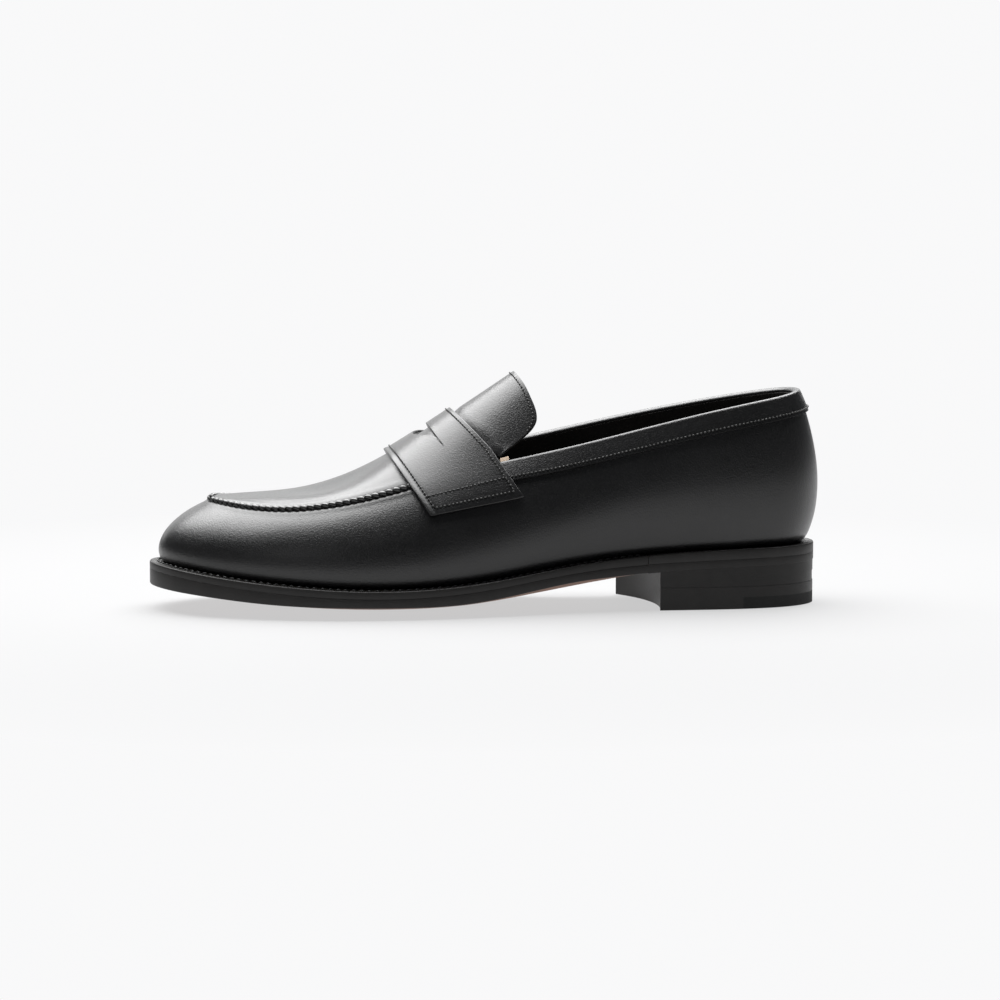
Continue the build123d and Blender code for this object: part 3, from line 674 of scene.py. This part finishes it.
def wrap_hit(tree, u, angle):
    """Radius of a node's outside at a place along the axis and an angle round it."""
    direction = wrap_direction(angle)
    start = AXIS + ALONG * u + direction * 0.09
    spot = hit(tree, start, -direction, 0.085)
    return None if spot is None else float(np.dot(np.array(spot) - AXIS, direction))


def wrap_point(u, angle, radius):
    return AXIS + ALONG * np.asarray(u)[..., None] + wrap_direction(angle) * np.asarray(radius)[..., None]


def wrap_fit(tree, u_range, angle_range, counts):
    """Smooth outside radius over the wrapped area of one node."""
    rows = []
    for u in np.linspace(*u_range, 34):
        for angle in np.linspace(*angle_range, 90):
            radius = wrap_hit(tree, u, angle)
            if radius is not None:
                rows.append((u, angle, radius))
    rows = np.array(rows)
    fit = Fit((rows[:, 0] - u_range[0]) / (u_range[1] - u_range[0]),
              (rows[:, 1] - angle_range[0]) / (angle_range[1] - angle_range[0]), rows[:, 2:], counts)

    def radius_at(u, angle):
        return fit((np.asarray(u) - u_range[0]) / (u_range[1] - u_range[0]),
                   (np.asarray(angle) - angle_range[0]) / (angle_range[1] - angle_range[0]))[..., 0]

    return radius_at


# Places along the ridge from the middle of the strap, as the CAD has them.
STRAP_FRONT = -0.0174
STRAP_REAR = 0.0174
FLARE = 0.004             # how much further back the rear edge lies at the sides
FLARE_HALF = 0.03         # and how far from the middle it reaches that
SLOT_REAR = 0.0046
SLOT_DEEP = 0.0076
SLOT_HALF = 0.019
STRAP_RADIUS = 0.045      # turns a width at the strap's feet into an angle


def strap_ends(u):
    """Angles at which the strap's two feet end, at a place along it."""
    return [bisect(lambda a: wrap_hit(strap_tree, u, a) is not None, 0.3 * side, 1.9 * side)
            for side in (-1, 1)]


places = np.linspace(STRAP_FRONT + 0.0004, STRAP_REAR - 0.0002, 14)
ends = np.array([strap_ends(u) for u in places])
foot_lines = [np.polyfit(places, ends[:, i], 2) for i in (0, 1)]
LIMIT = float(np.abs(ends).max())
strap_radius = wrap_fit(strap_tree, (STRAP_FRONT, STRAP_REAR + FLARE), (-LIMIT, LIMIT), (7, 16))


def strap_spot(a, b, inset=0.0, lift=0.0):
    """Point on the strap; a runs from front to rear, b from the outer foot to the inner one."""
    u = STRAP_FRONT + a * (STRAP_REAR - STRAP_FRONT)
    for _ in range(3):
        low = np.polyval(foot_lines[0], u)
        high = np.polyval(foot_lines[1], u)
        angle = low + (high - low) * b
        radius = strap_radius(u, angle)
        y = radius * np.sin(angle)
        rear = STRAP_REAR + FLARE * np.clip(np.abs(y) / FLARE_HALF, 0, 1) ** 2
        u = STRAP_FRONT + inset + a * (rear - STRAP_FRONT - 2 * inset)
    low = np.polyval(foot_lines[0], u) + inset / STRAP_RADIUS
    high = np.polyval(foot_lines[1], u) - inset / STRAP_RADIUS
    angle = low + (high - low) * b
    radius = strap_radius(u, angle)
    return u, angle, radius + lift


def slot_break(b):
    """The two values of a at which the slot starts and ends; equal outside it."""
    ones = np.full_like(b, 0.5)
    u, angle, radius = strap_spot(ones, b)
    y = radius * np.sin(angle)
    width = np.clip(1 - (y / SLOT_HALF) ** 2, 0, None)
    span = STRAP_REAR + FLARE * np.clip(np.abs(y) / FLARE_HALF, 0, 1) ** 2 - STRAP_FRONT
    rear = (SLOT_REAR - STRAP_FRONT) / span
    return rear - SLOT_DEEP * width / span, rear


def slot_columns(count):
    """Values of b spread over the strap, with one exactly at each end of the slot."""
    even = np.linspace(0, 1, 4001)
    u, angle, radius = strap_spot(np.full_like(even, 0.6), even)
    y = radius * np.sin(angle)
    first, last = np.interp([-SLOT_HALF, SLOT_HALF], y, even)
    return np.unique(np.concatenate([np.linspace(0, first, count // 3), np.linspace(first, last, count // 2),
                                     np.linspace(last, 1, count // 3)]))


def strap_sheet(name, inset, lift, thickness, pad, material, replaced, slot, slot_grow):
    """One ply of the strap with its half-moon slot."""
    columns = slot_columns(150)
    break_front, break_rear = slot_break(columns)
    wide = (break_rear - break_front) > 1e-9
    break_front = break_front - slot_grow * wide
    break_rear = break_rear + slot_grow * wide
    vertices = []
    faces = []
    base = 0
    before_slot = (np.zeros_like(columns), break_front, 34)
    behind_slot = (break_rear, np.ones_like(columns), 26)
    for low, high, rows in (before_slot, behind_slot):
        t = np.linspace(0, 1, rows)[:, None]
        a = low + (high - low) * t
        b = np.broadcast_to(columns, a.shape)
        u, angle, radius = strap_spot(a, b, inset, lift)
        edge = u - STRAP_FRONT - inset
        radius = radius + pad * bell(edge - 0.0009, 0.0009) - pad * 0.7 * bell(edge - 0.003, 0.0008)
        vertices.append(wrap_point(u, angle, radius).reshape(-1, 3))
        faces += [tuple(base + i for i in quad) for quad in grid_faces(rows, len(columns))]
        base += rows * len(columns)
    vertices = np.concatenate(vertices)
    piece = make_piece(name, vertices, faces, material, "root", replaced, slot)
    work = bmesh.new()
    work.from_mesh(piece.data)
    bmesh.ops.remove_doubles(work, verts=work.verts, dist=2e-6)
    work.to_mesh(piece.data)
    work.free()
    thicken(piece, thickness, thickness * 0.35, segments=4)
    return piece


strap_sheet("strap_leather", 0.0, 0.0, 0.0014, 0.0003, strap_calf, ("saddle_strap",), "strap_calf", 0.0)
strap_sheet("strap_under", 0.0003, -0.0015, 0.00075, 0.0, strap_calf, ("strap_backing",), "strap_calf",
            -0.004)


def strap_row(a_values, b_values, lift):
    """A line on the strap, and the outward direction along it."""
    a, b = np.broadcast_arrays(np.asarray(a_values, float), np.asarray(b_values, float))
    u, angle, radius = strap_spot(a, b, 0.0, lift)
    return wrap_point(u, angle, radius), wrap_direction(angle)


def build_strap_stitches():
    """Rows inside the front and rear edges, and two rows across each foot."""
    length = STRAP_REAR - STRAP_FRONT
    across = np.linspace(0.028, 0.972, 300)
    rows = [strap_row(0.0030 / length, across, -0.00005), strap_row(1 - 0.0019 / length, across, 0.00002)]
    along = np.linspace(0.09, 0.95, 80)
    for inward in (0.026, 0.078):
        rows.append(strap_row(along, inward, 0.00002))
        rows.append(strap_row(along, 1 - inward, 0.00002))
    sew("strap_stitches", rows, "root", ("strap_thread",), **FINE_STITCH)


build_strap_stitches()

TONGUE_START = 0.0195     # where the tongue comes out from under the strap
TONGUE_ROOT = 0.013       # where its hidden end lies
TONGUE_STEADY = 0.0475    # its radius is carried on in a straight line past here


def tongue_end(angle):
    """How far along the axis the tongue reaches at an angle."""
    return bisect(lambda u: wrap_hit(tongue_tree, u, angle) is not None, 0.0225, 0.056)


ANGLE_LOW, ANGLE_HIGH = (
    bisect(lambda a: wrap_hit(tongue_tree, 0.0235, a) is not None, 0.3 * side, 1.5 * side)
    for side in (-1, 1))
tongue_angles = np.linspace(ANGLE_LOW, ANGLE_HIGH, 141)
tongue_reach = np.array([tongue_end(angle) for angle in tongue_angles])
reach_fit = Line1(np.linspace(0, 1, 141), tongue_reach, 34)
tongue_radius = wrap_fit(tongue_tree, (TONGUE_START + 0.002, 0.0485), (ANGLE_LOW, ANGLE_HIGH), (8, 12))


def tongue_spot(a, b, inset=0.0, depth=0.0):
    """Point on the tongue; a runs from under the strap to its end, b from outer to inner side."""
    angle = ANGLE_LOW + inset / 0.04 + (ANGLE_HIGH - ANGLE_LOW - inset / 0.02) * b
    end = reach_fit((angle - ANGLE_LOW) / (ANGLE_HIGH - ANGLE_LOW)) - inset
    u = TONGUE_ROOT + (end - TONGUE_ROOT) * a
    steady = np.clip(u, TONGUE_START + 0.003, TONGUE_STEADY)
    slope = (tongue_radius(steady, angle) - tongue_radius(steady - 0.0015, angle)) / 0.0015
    radius = tongue_radius(steady, angle) + slope * (u - steady) * 0.4
    radius = radius - 0.0012 * np.clip((0.021 - u) / 0.008, 0, 1)
    return u, angle, radius - depth


def tongue_sheet(name, inset, depth, thickness, material, replaced, slot):
    """One ply of the tongue."""
    a, b = np.meshgrid(np.linspace(0, 1, 50), np.linspace(0, 1, 150), indexing="ij")
    u, angle, radius = tongue_spot(a, b, inset, depth)
    points = wrap_point(u, angle, radius)
    piece = make_piece(name, points, grid_faces(50, 150), material, None, replaced, slot)
    thicken(piece, thickness, thickness * 0.4, segments=4)
    bend(piece)


def bend(piece):
    """Bakes the piece's placement into its mesh; the tongue is not bent here."""
    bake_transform(piece)


tongue_sheet("tongue_leather", 0.0, 0.0, 0.0012, strap_calf, ("tongue",), "upper_calf")
tongue_sheet("tongue_back", 0.0003, 0.00135, 0.0009, lining, ("tongue_lining",), "lining_leather")


def build_tongue_stitches():
    """One row inside the tongue's free edge."""
    b = np.linspace(0.03, 0.97, 240)
    u, angle, radius = tongue_spot(np.ones_like(b), b, 0.0018)
    keep = u > 0.0225
    points = wrap_point(u, angle, radius)[keep]
    for piece in sew("tongue_stitches", [(points, wrap_direction(angle)[keep])], None, (), **FINE_STITCH):
        bend(piece)


build_tongue_stitches()

# ---------------------------------------------------------------- collar
COLLAR = 0.0095
COLLAR_THICK = 0.0012
COLLAR_STAND = 0.0002     # how far the band stands off the side leather
TOPLINE = 0.0028          # thickness of the upper where the band turns over it


def throat_station(low, high):
    """Where the topline comes out from under the strap."""
    cover = STRAP_REAR + FLARE - 0.003
    return bisect(lambda at: float(np.dot(wall_fit(at, 1.0) - CENTRE, ALONG)) < cover, high, low)


THROAT_OUTER = throat_station(0.02, 0.45)
THROAT_INNER = throat_station(0.98, 0.55)


def collar_grid(count, rows):
    """The band's outside, turning over the topline."""
    at = np.linspace(THROAT_INNER - 1, THROAT_OUTER, count)
    drops = np.concatenate([np.linspace(COLLAR, 0.0008, rows), [0.0004]])
    points = []
    for drop in drops:
        level = from_top(at, drop)
        point, normal, up = wall_frame(at, np.clip(level, 0, 1))
        points.append(point + normal * (COLLAR_STAND + COLLAR_THICK * (0.45 + 0.55 * drop / COLLAR)))
    crest_point, normal, up = wall_frame(at, np.ones_like(at))
    outer = COLLAR_STAND + COLLAR_THICK * 0.45
    for turn in (20, 45, 70, 90, 110, 135, 160, 180):
        angle = math.radians(turn)
        middle = (outer - TOPLINE) / 2
        points.append(crest_point + normal * (middle + (outer + TOPLINE) / 2 * math.cos(angle))
                      + up * 0.0010 * math.sin(angle))
    for drop in (0.0008, 0.0018, 0.0028):
        points.append(crest_point - normal * TOPLINE - up * drop)
    return np.stack(points, axis=1)


def build_collar():
    """The band round the topline and its row of stitches."""
    points = collar_grid(460, 14)
    count, rows = points.shape[:2]
    piece = make_piece("collar_leather", points, grid_faces(count, rows, flip=True), upper_calf, "root",
                       ("collar_band",), "upper_calf")
    thicken(piece, COLLAR_THICK, 0.0004)
    at = np.linspace(THROAT_INNER - 1 + 0.002, THROAT_OUTER - 0.002, 900)
    point, normal, up = wall_frame(at, from_top(at, COLLAR - 0.0016))
    row = (point + normal * (COLLAR_STAND + COLLAR_THICK), normal)
    sew("collar_stitches", [row], "root", ("collar_thread",), **FINE_STITCH)


build_collar()

# ---------------------------------------------------------------- quarter lining
lining_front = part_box("quarter_lining")[0][0]


def build_lining():
    """The lining hugs the upper at the topline and stands off it lower down, over the stiffeners."""
    reach = [bisect(lambda at: float(wall_fit(at, 0.6)[0]) > lining_front, start, end)
             for start, end in ((0.1, 0.4), (0.9, 0.6))]
    at = np.linspace(reach[1] - 1, reach[0], 420)
    at, level = np.meshgrid(at, np.linspace(0.03, 1.0, 40), indexing="ij")
    point, normal, up = wall_frame(at, level)
    rise = np.clip((level - 0.70) / 0.2, 0, 1)
    depth = 0.0034 - 0.0013 * rise * rise * (3 - 2 * rise)
    drop = 0.0006 * (level > 0.99)
    sheet = point - normal * depth[..., None] - up * drop[..., None]
    piece = make_piece("quarter_lining_leather", sheet, grid_faces(420, 40, flip=True), lining, "root",
                       ("quarter_lining",), "lining_leather")
    thicken(piece, 0.0009, 0.0002)


build_lining()


# ---------------------------------------------------------------- stay and raw edge at the throat
def topline_station(along):
    """The station on the outer side at which the topline reaches a distance along the ridge."""
    return bisect(lambda at: float(np.dot(wall_fit(at, 1.0) - CENTRE, ALONG)) < along, 0.45, 0.02)


def topline_strip(name, start, end, rows, depth, low, high, fade, thickness, material, replaced):
    """A strip that stands inside the topline, from one height to another above its edge."""
    at = np.linspace(topline_station(start), topline_station(end), rows)
    point, normal, up = wall_frame(at, np.ones_like(at))
    taper = 1 - fade * np.linspace(0, 1, rows)
    heights = np.linspace(0, 1, 8)[None, :] * (high * taper - low)[:, None] + low
    sheet = point[:, None] - normal[:, None] * depth + up[:, None] * heights[..., None]
    piece = make_piece(name, sheet, grid_faces(rows, 8), material, "root", replaced, "natural_leather")
    thicken(piece, thickness, thickness * 0.3)


topline_strip("throat_stay", 0.0212, 0.0248, 10, 0.0010, -0.005, 0.0034, 0.0, 0.0012, natural,
              ("throat_stay_outer",))
topline_strip("raw_edge", 0.0248, 0.062, 60, 0.0032, -0.003, 0.0013, 0.5, 0.0006, raw_edge, ())

# ---------------------------------------------------------------- edges of the bottom
SOLE_ROUND = 2600
RAND_START = 0.0688       # x of the joint between the welt and the heel rand


def edge_samples(at):
    """Plan point of the sole's edge, then the heights of its bottom, its top and the welt's top."""
    point, normal = guide(at)
    middle = float(ledge(at)) - 0.0055
    outer = side_hit(sole_tree, at, middle)
    spot = np.array(outer) - normal * 0.0009
    below = hit(sole_tree, (spot[0], spot[1], -0.01), (0, 0, 1), 0.1)
    above = hit(sole_tree, (spot[0], spot[1], middle), (0, 0, 1), 0.1)
    return outer[0], outer[1], below.z, above.z, float(ledge(at))


edge_table = np.array([edge_samples(at) for at in stations])
edge_fit = Line1(stations, edge_table, 64, True)
round_places = np.arange(SOLE_ROUND) / SOLE_ROUND
edge_rows = edge_fit(round_places)
edge_plan = edge_rows[:, :2]
edge_next = np.roll(edge_plan, -1, 0) - np.roll(edge_plan, 1, 0)
edge_length = np.linalg.norm(edge_next, axis=1, keepdims=True)
edge_out = np.stack([-edge_next[:, 1], edge_next[:, 0]], 1) / edge_length
edge_out *= np.sign(np.sum(edge_out * np.stack([guide(at)[1][:2] for at in round_places]), axis=1))[:, None]
edge_run = distances(edge_plan)
sole_low, sole_high, welt_high = edge_rows[:, 2], edge_rows[:, 3], edge_rows[:, 4]


def sweep(name, profile, material, body, replaces, slot, keep=None):
    """A band round the sole; the profile is a list of (distance outwards, height) arrays."""
    points = []
    for out, height in profile:
        flat = edge_plan + edge_out * (np.zeros(SOLE_ROUND) + out)[:, None]
        points.append(np.concatenate([flat, (np.zeros(SOLE_ROUND) + height)[:, None]], 1))
    points = np.stack(points, 1)
    closed = keep is None
    if not closed:
        first = int(np.argmax(keep & ~np.roll(keep, 1)))
        points = np.roll(points, -first, 0)[:int(keep.sum())]
    faces = grid_faces(len(points), points.shape[1], closed_rows=closed)
    return make_piece(name, points, faces, material, body, replaces, slot)


def rounded(out, low, high, radius):
    """Profile of an edge with both arrises rounded, from the bottom inwards to the top inwards."""
    rows = [(out - 0.0016, low), (out - 0.0008, low)]
    for turn in (0, 22, 45, 68, 90):
        angle = math.radians(turn)
        rows.append((out - radius + radius * math.sin(angle), low + radius - radius * math.cos(angle)))
    rows.append((out, (low + high) / 2))
    small = radius * 0.35
    for turn in (0, 30, 60, 90):
        angle = math.radians(turn)
        rows.append((out - small + small * math.cos(angle), high - small + small * math.sin(angle)))
    return rows


in_front = edge_plan[:, 0] < RAND_START
SOLE_PROUD = 0.00028      # how far the painted edge stands off the outsole
WELT_PROUD = 0.00029
WELT_LAP = 0.0003         # how far the welt's face reaches down over the outsole
TEETH = 0.0017            # spacing of the edge wheel's marks

sole_foot = sole_low - np.where(in_front, 0.0001, 0.0003)
sole_round = np.where(in_front, 0.0007, 0.0001)
sole_profile = rounded(SOLE_PROUD, sole_foot, sole_high - 0.00012, sole_round)
sweep("sole_edge", sole_profile + [(-0.0012, sole_high - 0.0001)], edge_ink, "root", (), "edge_leather")


def welt_profile(base_out, low, high):
    """The welt's outer face and its top, marked across by the edge wheel."""
    wave = 0.5 + 0.5 * np.cos(2 * np.pi * edge_run / TEETH)
    rows = [(-0.003, low), (base_out - 0.0004, low), (base_out - 0.0001, low + 0.0001),
            (base_out, low + 0.0004), (base_out, (low + high) / 2)]
    rows += [(base_out, high - 0.0007), (base_out - 0.0001, high - 0.0003),
             (base_out - 0.0003, high - 0.00005), (base_out - 0.0006, high + 0.00002)]
    for out in (0.0008, 0.0012, 0.0018, 0.0024, 0.0028):
        rows.append((base_out - out, high - 0.00005 - 0.0004 * wave ** 2))
    rows += [(base_out - 0.003, high), (base_out - 0.0034, high - 0.0002), (base_out - 0.0075, high - 0.0004)]
    return rows


for name, replaced, keep in (("welt_band", "welt", in_front), ("rand_band", "heel_rand", ~in_front)):
    profile = welt_profile(WELT_PROUD, sole_high - WELT_LAP, welt_high)
    sweep(name, profile, edge_ink, "root", (replaced,), "edge_leather", keep)


def build_welt_stitches():
    """Lock stitches along the welt's groove, close to the upper."""
    keep = edge_plan[:, 0] < RAND_START - 0.002
    first = int(np.argmax(keep & ~np.roll(keep, 1)))
    order = np.roll(np.arange(SOLE_ROUND), -first)[:int(keep.sum())]
    points = np.concatenate([edge_plan - edge_out * 0.0033, (welt_high - 0.0001)[:, None]], 1)[order]
    normals = np.tile([0.0, 0.0, 1.0], (len(order), 1))
    sew("welt_stitches", [(points, normals)], "root", ("welt_thread",), pitch=0.0034, length=0.0028,
        radius=0.00042, sink=0.3)


build_welt_stitches()

# ---------------------------------------------------------------- studio
FLOOR_TONE = 0.325


def studio():
    """A pale seamless floor, one large soft light overhead and the camera."""
    world = bpy.data.worlds.new("studio")
    bpy.context.scene.world = world
    world.use_nodes = True
    tree = world.node_tree
    path = add_node(tree, "ShaderNodeLightPath")
    seen = tree.nodes["Background"]
    seen.inputs["Color"].default_value = (0.945, 0.945, 0.95, 1)
    seen.inputs["Strength"].default_value = 1.0
    room = add_node(tree, "ShaderNodeBackground")
    room.inputs["Color"].default_value = (0.9, 0.95, 1.0, 1)
    room.inputs["Strength"].default_value = 0.06
    mixed = add_node(tree, "ShaderNodeMixShader")
    tree.links.new(path.outputs["Is Camera Ray"], mixed.inputs[0])
    tree.links.new(room.outputs[0], mixed.inputs[1])
    tree.links.new(seen.outputs[0], mixed.inputs[2])
    tree.links.new(mixed.outputs[0], tree.nodes["World Output"].inputs["Surface"])

    bpy.ops.mesh.primitive_circle_add(vertices=128, radius=2.6, fill_type="NGON", location=(0, 0, -0.0002))
    floor = bpy.context.object
    floor.name = "floor"
    material = bpy.data.materials.new("floor_paper")
    material.use_nodes = True
    tree = material.node_tree
    shader = tree.nodes["Principled BSDF"]
    shader.inputs["Base Color"].default_value = (FLOOR_TONE, FLOOR_TONE, FLOOR_TONE * 1.006, 1)
    shader.inputs["Roughness"].default_value = 0.8
    shader.inputs["Specular IOR Level"].default_value = 0.1
    glow = add_node(tree, "ShaderNodeEmission")
    glow.inputs["Color"].default_value = (0.945, 0.945, 0.95, 1)
    place = add_node(tree, "ShaderNodeTexCoord")
    length = add_node(tree, "ShaderNodeVectorMath", operation="LENGTH")
    tree.links.new(place.outputs["Object"], length.inputs[0])
    fade = remap(tree, length.outputs["Value"], 0.6, 1.0, 0.16, 0.42)
    blend = add_node(tree, "ShaderNodeMixShader")
    tree.links.new(fade, blend.inputs[0])
    tree.links.new(shader.outputs[0], blend.inputs[1])
    tree.links.new(glow.outputs[0], blend.inputs[2])
    tree.links.new(blend.outputs[0], tree.nodes["Material Output"].inputs["Surface"])
    floor.data.materials.append(material)

    def softbox(name, place, aim, size, power):
        light = bpy.data.lights.new(name, "AREA")
        light.shape = "RECTANGLE"
        light.size, light.size_y = size
        light.energy = power
        lamp = bpy.data.objects.new(name, light)
        lamp.visible_camera = False
        lamp.location = place
        lamp.rotation_euler = (Vector(aim) - Vector(place)).to_track_quat("-Z", "Y").to_euler()
        bpy.context.scene.collection.objects.link(lamp)

    softbox("overhead", (-0.05, 0.4, 1.15), (0, 0, 0), (1.9, 1.4), 72)
    softbox("backdrop", (0, 1.7, 0.75), (0, 0, 0.05), (2.6, 1.3), 11)
    softbox("front_fill", (-0.9, -1.6, 0.9), (0, 0, 0.04), (0.6, 0.6), 1)

    scene = bpy.context.scene
    scene.view_settings.view_transform = "Standard"
    camera = bpy.data.cameras.new("camera")
    camera.sensor_width = 36
    camera.lens = 161.28
    holder = bpy.data.objects.new("camera", camera)
    yaw, pitch = math.radians(6.0), math.radians(5.9)
    ahead = Vector((math.sin(yaw) * math.cos(pitch), math.cos(yaw) * math.cos(pitch), -math.sin(pitch)))
    holder.location = (-0.20169, -1.97767, 0.2523)
    holder.rotation_euler = ahead.to_track_quat("-Z", "Y").to_euler()
    scene.collection.objects.link(holder)
    scene.camera = holder


studio()
